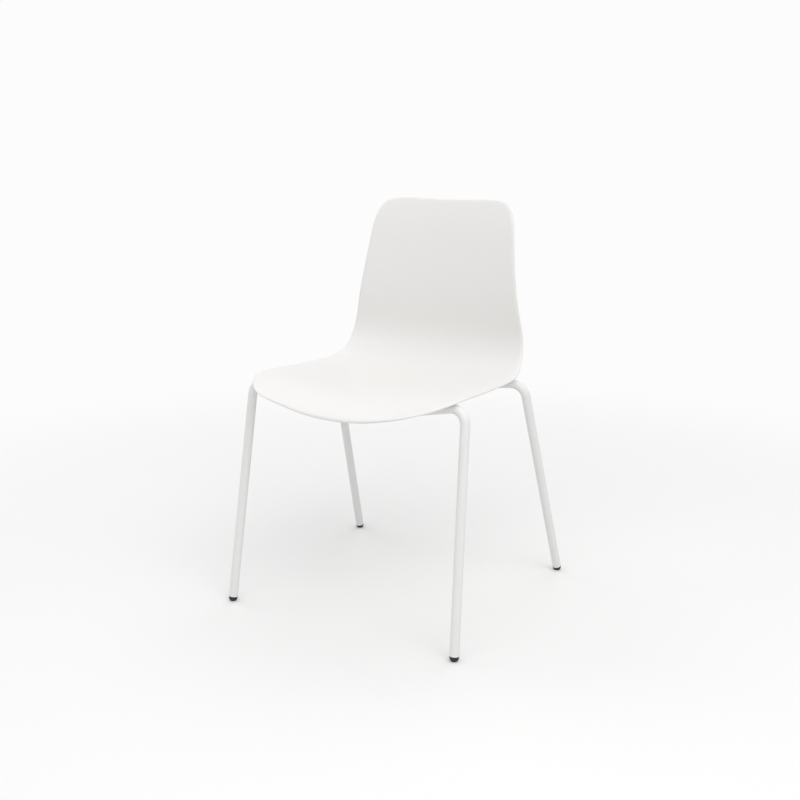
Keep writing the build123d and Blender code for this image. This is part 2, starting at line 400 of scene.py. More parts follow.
@dataclass(frozen=True)
class PadRubber(Finish):
    """Dark soft rubber with a dry, slightly dusty skin."""

    dust_colour: Colour = (0.16, 0.155, 0.15)
    dust_per_metre: float = 140.0
    skin_per_metre: float = 1300.0
    skin_depth: float = 0.03 * MM

    def dress(self, shading: Shading) -> None:
        """Feed the surface shader."""
        skin = shading.noise(self.skin_per_metre, 4.0)
        dust = shading.between(shading.noise(self.dust_per_metre, 4.0), 0.5, 0.82)
        colour = shading.tint(0.35 * dust, self.colour, self.dust_colour)
        rough = self.roughness + 0.10 * (skin - 0.5) + 0.08 * dust
        relief = shading.bump(skin, self.skin_depth)
        shading.feed(Base_Color=colour, Roughness=rough, Normal=relief, IOR=1.5)


@dataclass(frozen=True)
class PlatedMetal(Finish):
    """Plated or turned metal with fine tool marks and slightly dull patches."""

    marks_per_metre: float = 2600.0
    marks_depth: float = 0.008 * MM
    patch_per_metre: float = 330.0
    dull: Colour = (0.34, 0.34, 0.33)

    def dress(self, shading: Shading) -> None:
        """Feed the surface shader."""
        marks = shading.noise(self.marks_per_metre, 2.0, (1.0, 1.0, 0.2))
        patches = shading.noise(self.patch_per_metre, 4.0)
        stained = shading.between(patches, 0.55, 0.8)
        colour = shading.tint(0.35 * stained, self.colour, self.dull)
        rough = self.roughness + 0.14 * (marks - 0.5) + 0.22 * stained
        relief = shading.bump(marks, self.marks_depth)
        shading.feed(Base_Color=colour, Roughness=rough, Normal=relief, Metallic=1.0)


@dataclass(frozen=True)
class Finishes:
    """Every finish on the chair."""

    shell: MouldedPlastic = MouldedPlastic(Slot.SHELL, (0.840, 0.827, 0.812), 0.44)
    paint: PowderCoat = PowderCoat(Slot.PAINT, (0.87, 0.87, 0.862), 0.40)
    glide: GlideNylon = GlideNylon(Slot.GLIDE, (0.018, 0.018, 0.019), 0.48)
    pad: PadRubber = PadRubber(Slot.PAD, (0.045, 0.045, 0.047), 0.72)
    steel: PlatedMetal = PlatedMetal(Slot.STEEL, (0.62, 0.62, 0.60), 0.30)
    brass: PlatedMetal = PlatedMetal(Slot.BRASS, (0.72, 0.53, 0.26), 0.28, dull=(0.36, 0.25, 0.12))

    def materials(self) -> dict[Slot, bpy.types.Material]:
        """Return one material for each slot."""
        every = (self.shell, self.paint, self.glide, self.pad, self.steel, self.brass)
        return {finish.slot: finish.material() for finish in every}


# ---------------------------------------------------------------------- mesh making
@dataclass
class Skin:
    """Points and faces of a mesh under construction, patch by patch."""

    patches: list[Points] = field(default_factory=list)
    faces: list[tuple[int, ...]] = field(default_factory=list)
    count: int = 0

    def add_grid(self, grid: Points, wrap_rows: bool = False, wrap_columns: bool = False) -> None:
        """Add a sheet of four-sided faces.

        Args:
            grid: its points, rows by columns by three.
            wrap_rows: join the last row to the first.
            wrap_columns: join the last column to the first.
        """
        rows, columns = grid.shape[:2]
        index = np.arange(rows * columns).reshape(rows, columns) + self.count
        if wrap_rows:
            index = np.vstack([index, index[:1]])
        if wrap_columns:
            index = np.hstack([index, index[:, :1]])
        quads = np.stack([index[:-1, :-1], index[:-1, 1:], index[1:, 1:], index[1:, :-1]], axis=-1)
        self.faces += [tuple(quad) for quad in quads.reshape(-1, 4).tolist()]
        self.patches.append(grid.reshape(-1, 3))
        self.count += rows * columns

    def add_lid(self, loop: Points) -> None:
        """Close a flat loop with one face."""
        self.faces.append(tuple(range(self.count, self.count + len(loop))))
        self.patches.append(loop)
        self.count += len(loop)

    def mesh(self, name: str) -> bpy.types.Mesh:
        """Weld the patches into one mesh.

        Args:
            name: the mesh's name.

        Returns:
            The mesh, smooth but for its sharp edges, with its faces outwards.
        """
        mesh = bpy.data.meshes.new(name)
        mesh.from_pydata(np.concatenate(self.patches).tolist(), [], self.faces)
        work = bmesh.new()
        work.from_mesh(mesh)
        bmesh.ops.remove_doubles(work, verts=work.verts, dist=WELD_DISTANCE)
        bmesh.ops.recalc_face_normals(work, faces=work.faces)
        work.to_mesh(mesh)
        work.free()
        mesh.shade_smooth()
        mesh.set_sharp_from_angle(angle=SHARP_ANGLE)
        return mesh


@dataclass
class Workshop:
    """Turns meshes into finished pieces that ride on the chair."""

    materials: dict[Slot, bpy.types.Material]

    def piece(
        self,
        name: str,
        mesh: bpy.types.Mesh,
        slot: Slot,
        nodes: Sequence[str] = (),
        place: Matrix | None = None,
    ) -> bpy.types.Object:
        """Make one piece.

        Args:
            name: the piece's name.
            mesh: its mesh.
            slot: the record's slot whose finish it takes.
            nodes: CAD nodes that it stands for.
            place: where it goes, or None for a mesh that is in place.

        Returns:
            The piece.
        """
        made = bpy.data.objects.new(name, mesh)
        bpy.context.scene.collection.objects.link(made)
        if place is not None:
            made.matrix_world = place
        mesh.materials.clear()
        mesh.materials.append(self.materials[slot])
        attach(made, BODY)
        if nodes:
            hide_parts(*nodes)
        LOG.info("%s: %d points, %d faces", name, len(mesh.vertices), len(mesh.polygons))
        return made


def unit(vectors: Points) -> Points:
    """Return vectors of length one, along the last axis."""
    return vectors / np.linalg.norm(vectors, axis=-1, keepdims=True)


def cubic_spline(controls: Points, count: int) -> Points:
    """Walk a clamped uniform cubic B-spline.

    Args:
        controls: its control points, one a row.
        count: how many points to return.

    Returns:
        Points from its start to its end, evenly spaced in its parameter.
    """
    spans = len(controls) - 3
    knots = np.concatenate([np.zeros(3), np.arange(spans + 1), np.full(3, spans)])
    places = np.minimum(np.linspace(0, spans, count), spans - 1e-9)[:, None]
    weights = ((knots[:-1] <= places) & (places < knots[1:])).astype(float)
    for degree in (1, 2, 3):
        low, high = knots[: -degree - 1], knots[degree + 1 :]
        rise, fall = knots[degree:-1] - low, high - knots[1:-degree]
        up = (places - low) / np.where(rise > 0, rise, np.inf)
        down = (high - places) / np.where(fall > 0, fall, np.inf)
        weights = up * weights[:, :-1] + down * weights[:, 1:]
    return weights @ controls


def along(points: Points, lengths: Points, count: int) -> Points:
    """Space points evenly along a line.

    Args:
        points: the line's points, one a row.
        lengths: the distance to each from the line's start.
        count: how many points to return.

    Returns:
        The new points, the line's ends among them.
    """
    places = np.linspace(lengths[0], lengths[-1], count)
    return np.stack([np.interp(places, lengths, column) for column in points.T], axis=1)


def rounded_path(
    corners: Sequence[tuple[float, float]], radii: Sequence[float], step: float
) -> Points:
    """Round a bent line's corners with tangent arcs.

    Args:
        corners: the line's ends and corners, in a plane.
        radii: radius at each corner.
        step: longest straight stretch between two points.

    Returns:
        Points along the rounded line.
    """
    turns = [np.array(corners[0])[None]]
    for before, corner, after, radius in zip(corners, corners[1:], corners[2:], radii):
        here = np.array(corner)
        back, ahead = unit(np.array(before) - here), unit(np.array(after) - here)
        half = math.acos(np.clip(back @ ahead, -1, 1)) / 2
        centre = here + unit(back + ahead) * radius / math.sin(half)
        reach = radius / math.tan(half)
        start = here + back * reach - centre
        end = here + ahead * reach - centre
        sweep = math.pi - 2 * half
        shares = np.linspace(0, 1, max(6, math.ceil(sweep / math.radians(3))) + 1)[:, None]
        arc = np.sin((1 - shares) * sweep) * start + np.sin(shares * sweep) * end
        turns.append(centre + arc / math.sin(sweep))
    turns.append(np.array(corners[-1])[None])
    stretches = [turns[0]]
    for before, turn in zip(turns, turns[1:]):
        gap = np.linalg.norm(turn[0] - before[-1])
        shares = np.linspace(0, 1, math.ceil(gap / step) + 1)[1:-1, None]
        stretches += [before[-1] + shares * (turn[0] - before[-1]), turn]
    return np.concatenate(stretches)


def ring(count: int) -> Points:
    """Return the angles of a full circle, evenly spaced."""
    return np.arange(count) * 2 * math.pi / count


def arc(centre: tuple[float, float], radius: float, start: float, end: float, count: int) -> Points:
    """Draw a circular arc.

    Args:
        centre: its centre.
        radius: its radius.
        start: angle of its first point, in degrees.
        end: angle of its last point, in degrees.
        count: how many points.

    Returns:
        The arc's points.
    """
    angles = np.radians(np.linspace(start, end, count))
    return np.array(centre) + radius * np.stack([np.cos(angles), np.sin(angles)], axis=1)


def turned(
    profile: Sequence[tuple[float, float]] | Points,
    count: int,
    shape: Callable[[Points, Points, Points], Points] | None = None,
) -> Points:
    """Turn a profile round the Z axis.

    Args:
        profile: (radius, height) points from one end on the axis to the other.
        count: points round the axis.
        shape: changes the radii, given radii, angles and heights, or None for plain turning.

    Returns:
        The points, profile points by points round.
    """
    outline = np.asarray(profile, float)
    angles = ring(count)[None, :]
    radii = np.repeat(outline[:, :1], count, axis=1)
    heights = np.repeat(outline[:, 1:], count, axis=1)
    if shape is not None:
        radii = shape(radii, angles, heights)
    return np.stack([radii * np.cos(angles), radii * np.sin(angles), heights], axis=-1)


def upright(origin: Vector, x_axis: Vector, z_axis: Vector) -> Matrix:
    """Build a placing.

    Args:
        origin: where the piece's own origin goes.
        x_axis: unit direction of its X axis.
        z_axis: unit direction of its Z axis.

    Returns:
        The matrix that puts the piece there.
    """
    rotation = Matrix((x_axis, z_axis.cross(x_axis), z_axis)).transposed()
    return Matrix.Translation(origin) @ rotation.to_4x4()


def transformed(grid: Points, place: Matrix) -> Points:
    """Return points moved by a matrix."""
    turn = np.array(place.to_3x3())
    return grid @ turn.T + np.array(place.translation)


# ---------------------------------------------------------------------- tube frame
@dataclass(frozen=True)
class LegBend:
    """One tube bent into a pair of legs with a dipped cross tube, in its own leaning plane."""

    foot_y: float
    lean: float
    foot_half_width: float
    corners: tuple[tuple[float, float], ...]
    radii: tuple[float, ...]
    end_height: float = 9.0 * MM

    @property
    def up(self) -> Vector:
        """Direction up the leaning plane."""
        return Vector((0, math.sin(self.lean), math.cos(self.lean)))

    def cross_middle(self) -> Vector:
        """Return the middle of the cross tube's centre line."""
        height = self.corners[-1][1]
        return Vector((0, self.foot_y + height * math.tan(self.lean), height))

    def centre_line(self, step: float) -> Points:
        """Walk the tube's centre line from the left foot to the right one.

        Args:
            step: longest straight stretch between two points.

        Returns:
            Points along it.
        """
        first_x, first_z = self.corners[0]
        share = self.end_height / first_z
        foot = (self.foot_half_width + (first_x - self.foot_half_width) * share, self.end_height)
        right = [(x, z / math.cos(self.lean)) for x, z in (foot, *self.corners)]
        left = [(-x, z) for x, z in right]
        flat = rounded_path(left + right[::-1], self.radii + self.radii[::-1], step)
        across = np.array([1.0, 0.0, 0.0])
        between_feet = np.array([0, self.foot_y, 0])
        return between_feet + flat[:, :1] * across + flat[:, 1:] * np.array(self.up)

    def foot(self, side: Side) -> tuple[Vector, Vector]:
        """Return the tube's end on one side and the direction from it into the tube."""
        line = self.centre_line(1.0)
        if side is Side.RIGHT:
            line = line[::-1]
        return Vector(line[0]), Vector(line[1] - line[0]).normalized()


@dataclass
class TubeFrame:
    """The two bent tubes, the two rails between them and the weld beads."""

    workshop: Workshop
    front: LegBend
    rear: LegBend
    tube_radius: float = 9.0 * MM
    tube_wall: float = 1.8 * MM
    tube_lip: float = 0.3 * MM
    tube_step: float = 14.0 * MM
    round_points: int = 56
    rail_x: float = 70.0 * MM
    rail_width: float = 30.0 * MM
    rail_thickness: float = 5.0 * MM
    rail_edge: float = 0.9 * MM
    hole_radius: float = 3.3 * MM
    bead_radius: float = 2.1 * MM
    bead_pitch: float = 2.3 * MM

    def legs(self, end: End) -> LegBend:
        """Return the bent tube at one end of the chair."""
        return self.front if end is End.FRONT else self.rear

    def rail_direction(self) -> Vector:
        """Return the rails' direction, from the front cross tube to the rear one."""
        return (self.rear.cross_middle() - self.front.cross_middle()).normalized()

    def rail_normal(self) -> Vector:
        """Return the upward normal of the rails, which is also the screws' direction."""
        run = self.rail_direction()
        return Vector((0, -run.z, run.y))

    def rail_height(self, y: float) -> float:
        """Return the height of the rails' middle plane at a distance y."""
        start, run = self.front.cross_middle(), self.rail_direction()
        return start.z + (y - start.y) * run.z / run.y

    def tube(self, legs: LegBend) -> Skin:
        """Build one hollow tube.

        Args:
            legs: how it is bent.

        Returns:
            Its skin, inside and outside.
        """
        line = legs.centre_line(self.tube_step)
        ahead = unit(np.gradient(line, axis=0))
        normal = np.cross(np.array([1.0, 0, 0]), np.array(legs.up))
        side = np.cross(ahead, normal)
        angles = ring(self.round_points)[None, :, None]
        spokes = np.cos(angles) * side[:, None, :] + np.sin(angles) * normal[None, None, :]
        lip, outer, inner = self.tube_lip, self.tube_radius, self.tube_radius - self.tube_wall
        outside = line[:, None, :] + outer * spokes
        inside = line[::-1, None, :] + inner * spokes[::-1]
        for end, opposite, sign in ((0, -1, 1), (-1, 0, -1)):
            shift = sign * lip * ahead[end]
            outside[end] += shift
            inside[opposite] += shift
        mouth = [line[i] + radius * spokes[i] for i, radius in
                 ((-1, outer - lip), (-1, inner + lip), (0, inner + lip), (0, outer - lip))]
        skin = Skin()
        rows = [outside, np.stack(mouth[:2]), inside, np.stack(mouth[2:])]
        skin.add_grid(np.concatenate(rows), wrap_rows=True, wrap_columns=True)
        return skin

    def rail_outline(self) -> Points:
        """Return one half of a rail's rounded section: (x, height) of its upper side."""
        half, edge = self.rail_width / 2, self.rail_edge
        top = self.rail_thickness / 2
        left = arc((-half + edge, top - edge), edge, 180, 90, 7)
        flat = np.stack([np.linspace(-half + edge, half - edge, 13), np.full(13, top)], axis=1)
        right = arc((half - edge, top - edge), edge, 90, 0, 7)
        return np.concatenate([left, flat[1:-1], right])

    def rail(self, side: Side) -> bpy.types.Mesh:
        """Build one rail, coped to both cross tubes.

        Args:
            side: which rail.

        Returns:
            Its mesh.
        """
        start, run, up = self.front.cross_middle(), self.rail_direction(), self.rail_normal()
        length = (self.rear.cross_middle() - start).length
        outline = self.rail_outline()
        origin = np.array(start + Vector((side.value * self.rail_x, 0, 0)))

        def lay(x: Points, height: Points, share: float) -> Points:
            """Return points a share of the way from one tube's skin to the other's."""
            inset = np.sqrt(self.tube_radius**2 - height**2)
            run_length = inset + (length - 2 * inset) * share
            return (origin + x[..., None] * np.array([1.0, 0, 0]) + height[..., None] * np.array(up)
                    + run_length[..., None] * np.array(run))

        x, top = outline[:, 0], outline[:, 1]
        loop_x, loop_top = np.concatenate([x, x[::-1]]), np.concatenate([top, -top[::-1]])
        skin = Skin()
        loops = [lay(loop_x, loop_top, share) for share in np.linspace(0, 1, 25)]
        skin.add_grid(np.stack(loops), wrap_columns=True)
        for share in (0.0, 1.0):
            rows = [lay(x, top * step, share) for step in np.linspace(1, -1, 9)]
            skin.add_grid(np.stack(rows))
        return skin.mesh(f"rail_{side.name.lower()}")

    def drill(self, rail: bpy.types.Object, side: Side, screw_ys: Sequence[float]) -> None:
        """Cut the screw holes through a rail.

        Args:
            rail: the rail.
            side: which rail it is.
            screw_ys: distance along Y of each hole.
        """
        for y in screw_ys:
            centre = Vector((side.value * self.rail_x, y, self.rail_height(y)))
            place = upright(centre, Vector((1, 0, 0)), self.rail_normal())
            reach = 2 * self.rail_thickness
            hole = self.hole_radius
            profile = [(0, -reach), (hole, -reach), (hole, reach), (0, reach)]
            skin = Skin()
            skin.add_grid(transformed(turned(profile, 48), place), wrap_columns=True)
            cutter = bpy.data.objects.new("drill", skin.mesh("drill"))
            bpy.context.scene.collection.objects.link(cutter)
            cut = rail.modifiers.new("hole", "BOOLEAN")
            cut.operation, cut.solver, cut.object = "DIFFERENCE", "EXACT", cutter
            bpy.context.view_layer.update()
            seen = rail.evaluated_get(bpy.context.evaluated_depsgraph_get())
            drilled = bpy.data.meshes.new_from_object(seen)
            rail.modifiers.remove(cut)
            bpy.data.objects.remove(cutter)
            rail.data = drilled
        rail.data.set_sharp_from_angle(angle=SHARP_ANGLE)

    def bead(self, end: End, side: Side, top: bool) -> Skin:
        """Build the weld bead along one edge of a rail's end.

        Args:
            end: which cross tube.
            side: which rail.
            top: True for the upper edge.

        Returns:
            The bead's skin: overlapping ripples that taper off at both ends.
        """
        legs, run, up = self.legs(end), self.rail_direction(), self.rail_normal()
        sign = 1 if top else -1
        height = sign * self.rail_thickness / 2
        inset = math.sqrt(self.tube_radius**2 - height**2)
        corner = legs.cross_middle() - run * end.value * inset + up * height
        corner += Vector((side.value * self.rail_x, 0, 0))
        half = self.rail_width / 2 - 1.5 * MM
        steps = np.linspace(-1, 1, 97)
        ripple = np.abs(np.sin(math.pi * steps * half / self.bead_pitch))
        wander = 0.12 * np.sin(7.3 * steps + end.value + 2 * side.value + sign)
        taper = np.sqrt(np.clip(1 - np.abs(steps) ** 8, 0, 1))
        radii = self.bead_radius * taper * (0.88 + 0.14 * ripple + wander * 0.4)
        angles = ring(20)[None, :]
        across = radii[:, None] * np.cos(angles)
        rise = radii[:, None] * np.sin(angles)
        x = np.repeat((steps * half)[:, None], angles.shape[1], axis=1)
        grid = (np.array(corner) + x[..., None] * np.array([1.0, 0, 0])
                + across[..., None] * np.array(run) + rise[..., None] * np.array(up))
        skin = Skin()
        skin.add_grid(grid, wrap_columns=True)
        return skin

    def build(self, screw_ys: Sequence[float]) -> None:
        """Make every piece of the frame.

        Args:
            screw_ys: distance along Y of the screws in each rail.
        """
        for end in End:
            name = end.name.lower()
            mesh = self.tube(self.legs(end)).mesh(f"{name}_legs_tube")
            self.workshop.piece(f"{name}_legs_tube", mesh, Slot.PAINT, [f"{name}_leg_frame"])
        for side in Side:
            name = side.name.lower()
            rail = self.workshop.piece(
                f"rail_{name}", self.rail(side), Slot.PAINT, [f"seat_rail_{name}"])
            self.drill(rail, side, screw_ys)
        for end in End:
            for side in Side:
                for top in (True, False):
                    edge = "upper" if top else "lower"
                    name = f"weld_{end.name.lower()}_{side.name.lower()}_{edge}"
                    self.workshop.piece(name, self.bead(end, side, top).mesh(name), Slot.PAINT)


# ---------------------------------------------------------------------- seat shell
@dataclass
class SeatShell:
    """The one-piece seat and back with its rolled rim and the screw bosses under the seat.

    A station is (y, z, lift_y, lift_z) of the middle profile: the lift is how far the surface
    has moved at lift_width from the middle. The rim is drawn as seen square-on to the bend.
    """

    workshop: Workshop
    frame: TubeFrame
    stations: Points
    rim: Points
    screw_ys: tuple[float, float]
    lift_width: float = 200.0 * MM
    wall: float = 4.5 * MM
    roll_width: float = 6.0 * MM
    roll_drop: float = 2.7 * MM
    lower_round: float = 1.3 * MM
    band_insets: tuple[float, ...] = (12.0 * MM, 10.0 * MM, 8.0 * MM)
    columns: int = 128
    rows: int = 236
    profile_steps: int = 6001
    boss_radius: float = 9.0 * MM
    boss_rib_reach: float = 20.0 * MM
    boss_rib_thickness: float = 2.6 * MM
    boss_rib_share: float = 0.6
    boss_roof: float = 2.5 * MM
    boss_flare: float = 2.6 * MM
    insert_radius: float = 4.0 * MM
    relief_radius: float = 3.05 * MM
    insert_length: float = 10.0 * MM
    relief_length: float = 16.0 * MM

    def __post_init__(self) -> None:
        """Prepare the middle profile and the start of its rising part for every x."""
        self.profile = cubic_spline(self.stations, self.profile_steps)
        self.slope = np.gradient(self.profile, axis=0) * (self.profile_steps - 1)
        self.reach = np.linspace(0, 1.3 * self.lift_width, 80)
        front_quarter = self.profile[None, : self.profile_steps // 4]
        heights = self.view_height(self.reach[:, None], front_quarter)
        self.first = heights.argmin(axis=1) / (self.profile_steps - 1)

    def view_height(self, x: Points, stations: Points) -> Points:
        """Return the height of surface points in the view square-on to the bend."""
        share = (x / self.lift_width) ** 2
        rise = stations[..., 0] + stations[..., 1] + (stations[..., 2] + stations[..., 3]) * share
        return rise / math.sqrt(2)

    def station(self, table: Points, fraction: Points) -> Points:
        """Read a table of the profile at fractions from its front to its top."""
        places = np.linspace(0, 1, self.profile_steps)
        return np.stack([np.interp(fraction, places, column) for column in table.T], axis=-1)

    def fraction(self, flat: Points) -> Points:
        """Find where view points lie along the profile.

        Args:
            flat: (x, height) of each point in the view square-on to the bend.

        Returns:
            Each point's fraction from the front to the top.
        """
        x, height = flat[..., 0], flat[..., 1]
        low = np.interp(np.abs(x), self.reach, self.first)
        high = np.ones_like(low)
        for _ in range(34):
            middle = (low + high) / 2
            below = self.view_height(x, self.station(self.profile, middle)) < height
            low, high = np.where(below, middle, low), np.where(below, high, middle)
        return low

    def surface(self, flat: Points) -> tuple[Points, Points]:
        """Find surface points and their normals.

        Args:
            flat: (x, height) of each point in the view square-on to the bend.

        Returns:
            The points on the upper surface, and the unit normals out of it.
        """
        x, fraction = flat[..., 0], self.fraction(flat)
        share = (x / self.lift_width) ** 2
        here, rise = self.station(self.profile, fraction), self.station(self.slope, fraction)
        y = here[..., 0] + here[..., 2] * share
        z = here[..., 1] + here[..., 3] * share
        steep = 2 * x / self.lift_width**2
        across = np.stack([np.ones_like(x), here[..., 2] * steep, here[..., 3] * steep], axis=-1)
        climb_y = rise[..., 0] + rise[..., 2] * share
        climb_z = rise[..., 1] + rise[..., 3] * share
        climb = np.stack([np.zeros_like(x), climb_y, climb_z], axis=-1)
        return np.stack([x, y, z], axis=-1), unit(np.cross(across, climb))

    def rim_sides(self) -> list[Points]:
        """Cut the rim at its four rounded corners and space its points evenly.

        Returns:
            Its front, right, top and left sides as view points, anticlockwise.
        """
        right = cubic_spline(self.rim, 3001)
        heading = np.gradient(right, axis=0)
        angle = np.degrees(np.arctan2(heading[:, 1], heading[:, 0]))
        front_corner = int(np.argmax(angle > 45))
        top_corner = int(np.argmax(angle > 135))
        mirror = np.array([-1.0, 1.0])
        front = np.concatenate([(right * mirror)[front_corner:0:-1], right[: front_corner + 1]])
        flank = right[front_corner : top_corner + 1]
        top = np.concatenate([right[top_corner:], (right * mirror)[-2 : top_corner - 1 : -1]])
        sides = []
        for line, count in ((front, self.columns), (flank, self.rows), (top, self.columns)):
            solid, _ = self.surface(line)
            gaps = np.linalg.norm(np.diff(solid, axis=0), axis=1)
            sides.append(along(line, np.concatenate([[0], np.cumsum(gaps)]), count + 1))
        sides.append((sides[1] * mirror)[::-1])
        return sides

    def rings(self, insets: Sequence[float]) -> list[tuple[Points, Points, Points]]:
        """Walk round the surface at distances in from the rim.

        Args:
            insets: the distances.

        Returns:
            View points, surface points and normals of each ring.
        """
        outline = np.concatenate([side[:-1] for side in self.rim_sides()])
        solid, normal = self.surface(outline)
        tangent = unit(np.roll(solid, -1, axis=0) - np.roll(solid, 1, axis=0))
        inward = unit(np.cross(normal, tangent))
        drift = np.stack([inward[:, 0], (inward[:, 1] + inward[:, 2]) / math.sqrt(2)], axis=1)
        found = []
        for inset in insets:
            flat = outline + drift * inset
            found.append((flat, *self.surface(flat)))
        return found

    def field(self, border: Points) -> Points:
        """Fill a four-cornered ring of view points with a grid.

        Args:
            border: the ring, starting at the front left corner, anticlockwise.

        Returns:
            The grid, rows by columns by two.
        """
        columns, rows = self.columns, self.rows
        front = border[: columns + 1]
        right = border[columns : columns + rows + 1]
        top = border[columns + rows : 2 * columns + rows + 1][::-1]
        left = np.concatenate([border[2 * columns + rows :], border[:1]])[::-1]
        u = np.linspace(0, 1, columns + 1)[None, :, None]
        w = np.linspace(0, 1, rows + 1)[:, None, None]
        ruled = (1 - w) * front[None] + w * top[None] + (1 - u) * left[:, None] + u * right[:, None]
        low = (1 - u) * front[0] + u * front[-1]
        high = (1 - u) * top[0] + u * top[-1]
        return ruled - ((1 - w) * low + w * high)

    def rim_section(self) -> list[tuple[float, float]]:
        """Return (inset, depth) round the rim, from the upper surface to the lower one."""
        section = [(inset, 0.0) for inset in self.band_insets]
        quarter = np.radians(np.linspace(0, 90, 11))
        section += [(self.roll_width * (1 - math.sin(turn)), self.roll_drop * (1 - math.cos(turn)))
                    for turn in quarter]
        low, edge = self.wall - self.lower_round, self.lower_round
        section += [(edge * (1 - math.cos(turn)), low + edge * math.sin(turn))
                    for turn in quarter[::2]]
        section += [(inset, self.wall) for inset in (3.5 * MM, *self.band_insets[::-1])]
        return section

    def sheet(self) -> Skin:
        """Build the shell itself: both faces and the rim between them."""
        section = self.rim_section()
        insets = sorted({inset for inset, _ in section})
        found = dict(zip(insets, self.rings(insets)))
        skin = Skin()
        loops = [found[inset][1] - found[inset][2] * depth for inset, depth in section]
        skin.add_grid(np.stack(loops), wrap_columns=True)
        solid, normal = self.surface(self.field(found[self.band_insets[0]][0]))
        skin.add_grid(solid)
        skin.add_grid(solid - normal * self.wall)
        return skin

    def height_over(self, x: float, y: float) -> float:
        """Return the height of the upper surface over a point of the seat."""
        half = self.profile[: self.profile_steps // 2]
        share = (x / self.lift_width) ** 2
        return float(np.interp(y, half[:, 0] + half[:, 2] * share, half[:, 1] + half[:, 3] * share))

    def boss_places(self) -> Iterator[tuple[End, Side, Matrix]]:
        """Yield each screw's end, side and placing, on the rails' middle plane."""
        for end, y in zip(End, self.screw_ys):
            for side in Side:
                centre = Vector((side.value * self.frame.rail_x, y, self.frame.rail_height(y)))
                yield end, side, upright(centre, Vector((1, 0, 0)), self.frame.rail_normal())

    def add_boss(self, skin: Skin, place: Matrix) -> None:
        """Add one boss with its bore and its four ribs to the shell's skin.

        Args:
            skin: the shell's skin.
            place: the screw's placing.
        """
        bottom = self.frame.rail_thickness / 2
        centre = place.translation
        height = self.height_over(centre.x, centre.y) - self.wall / 2 - centre.z - bottom
        seat = place @ Matrix.Translation((0, 0, bottom))
        relief = min(height - self.boss_roof, self.relief_length)
        radius, edge, flare_radius = self.boss_radius, 0.4 * MM, self.boss_flare
        foot = radius + flare_radius
        flare = arc((foot, height - flare_radius - 2.0 * MM), flare_radius, 180, 90, 8)
        profile = [(0, relief + 0.6 * MM), (self.relief_radius, relief), (self.relief_radius,
                   self.insert_length), (self.insert_radius, self.insert_length),
                   (self.insert_radius, edge), (self.insert_radius + edge, 0), (radius - edge, 0),
                   (radius, edge), *flare.tolist(), (foot, height), (0, height)]
        if relief < self.insert_length:
            profile[1:4] = [(self.insert_radius, relief)]
        skin.add_grid(transformed(turned(profile, 64), seat), wrap_columns=True)
        rib_top, rib_bottom = height, height * (1 - self.boss_rib_share)
        for turn in (0, 90):
            quarter = Matrix.Rotation(math.radians(turn), 4, "Z")
            self.add_rib(skin, seat @ quarter, rib_bottom, rib_top)

    def add_rib(self, skin: Skin, place: Matrix, bottom: float, top: float) -> None:
        """Add one rib across a boss, with rounded edges and drafted ends.

        Args:
            skin: the shell's skin.
            place: the boss's placing, turned so that X runs along the rib.
            bottom: height of the rib's free edge.
            top: height of its root in the wall.
        """
        edge = 0.7 * MM
        half = self.boss_rib_thickness / 2
        loops = []
        for height, inset in ((bottom, edge), (bottom + edge * 0.3, edge * 0.3),
                              (bottom + edge, 0), (top, -0.3 * MM)):
            reach = self.boss_rib_reach - inset - 2.0 * MM * (top - height) / (top - bottom)
            width = half - inset
            corner = min(width, 1.0 * MM) * 0.8
            loop = np.concatenate([
                arc((reach - corner, width - corner), corner, 0, 90, 5),
                arc((-reach + corner, width - corner), corner, 90, 180, 5),
                arc((-reach + corner, -width + corner), corner, 180, 270, 5),
                arc((reach - corner, -width + corner), corner, 270, 360, 5)])
            loops.append(np.column_stack([loop, np.full(len(loop), height)]))
        grid = transformed(np.stack(loops), place)
        skin.add_grid(grid, wrap_columns=True)
        skin.add_lid(grid[0])
        skin.add_lid(grid[-1])

    def mark_rim(self, mesh: bpy.types.Mesh) -> None:
        """Store how near each point is to the rim, 1 on it and 0 from the band's inner edge on."""
        _, solid, _ = self.rings([0.0])[0]
        tree = KDTree(len(solid))
        for index, point in enumerate(solid):
            tree.insert(point, index)
        tree.balance()
        gaps = np.array([tree.find(point.co)[2] for point in mesh.vertices])
        rim = mesh.attributes.new("rim", "FLOAT", "POINT")
        rim.data.foreach_set("value", np.clip(1 - gaps / self.band_insets[0], 0, 1))

    def build(self) -> None:
        """Make the shell."""
        skin = self.sheet()
        for _, _, place in self.boss_places():
            self.add_boss(skin, place)
        mesh = skin.mesh("seat_and_back")
        self.mark_rim(mesh)
        self.workshop.piece("seat_and_back", mesh, Slot.SHELL, ["seat_shell"])


